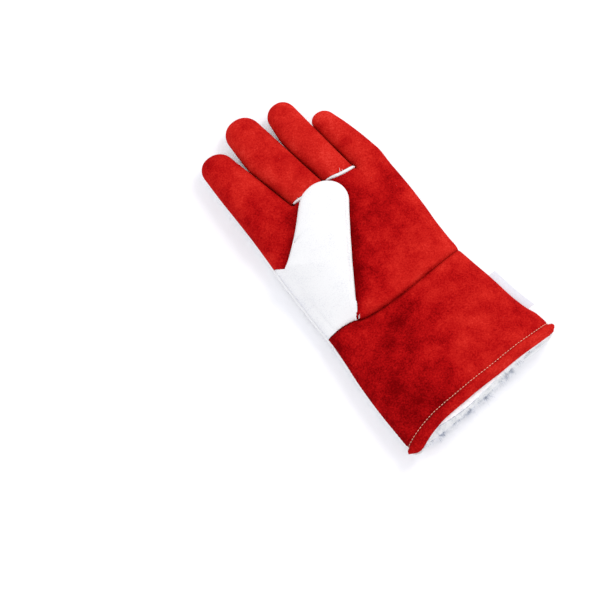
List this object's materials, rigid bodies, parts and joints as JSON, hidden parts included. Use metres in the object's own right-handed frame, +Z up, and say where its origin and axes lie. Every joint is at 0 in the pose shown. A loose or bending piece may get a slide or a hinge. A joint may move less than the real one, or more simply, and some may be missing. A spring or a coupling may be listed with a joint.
{
  "type": "fire-resistant work glove",
  "caption": "Fire-resistant leather gauntlet glove lying palm up, hollow for the hand, with a lined cuff and the thumb folded over the palm.",
  "frame": {"origin": "under the middle of the glove's box, on the surface that it lies on", "axes": "+Y from the cuff's mouth to the fingertips, +X from the thumb's side to the little finger's side, +Z up out of the palm"},
  "size_m": [0.1822, 0.369, 0.0461],
  "materials": {
    "red_suede": "matt split suede, softly mottled",
    "white_leather": "matt, fine grain",
    "white_fleece": "short curly pile",
    "white_tape": "smooth woven tape"
  },
  "bodies": {
    "root": {"palm_panel": "red_suede", "middle_finger_front": "red_suede", "ring_finger_front": "red_suede", "middle_finger_welt": "white_leather", "ring_finger_welt": "white_leather", "back_panel": "white_leather", "thumb_back": "white_leather", "thumb_front": "white_leather", "cuff_front": "red_suede", "cuff_back": "white_leather", "cuff_lining": "white_fleece", "label_tab": "white_tape"}
  },
  "joints": []
}
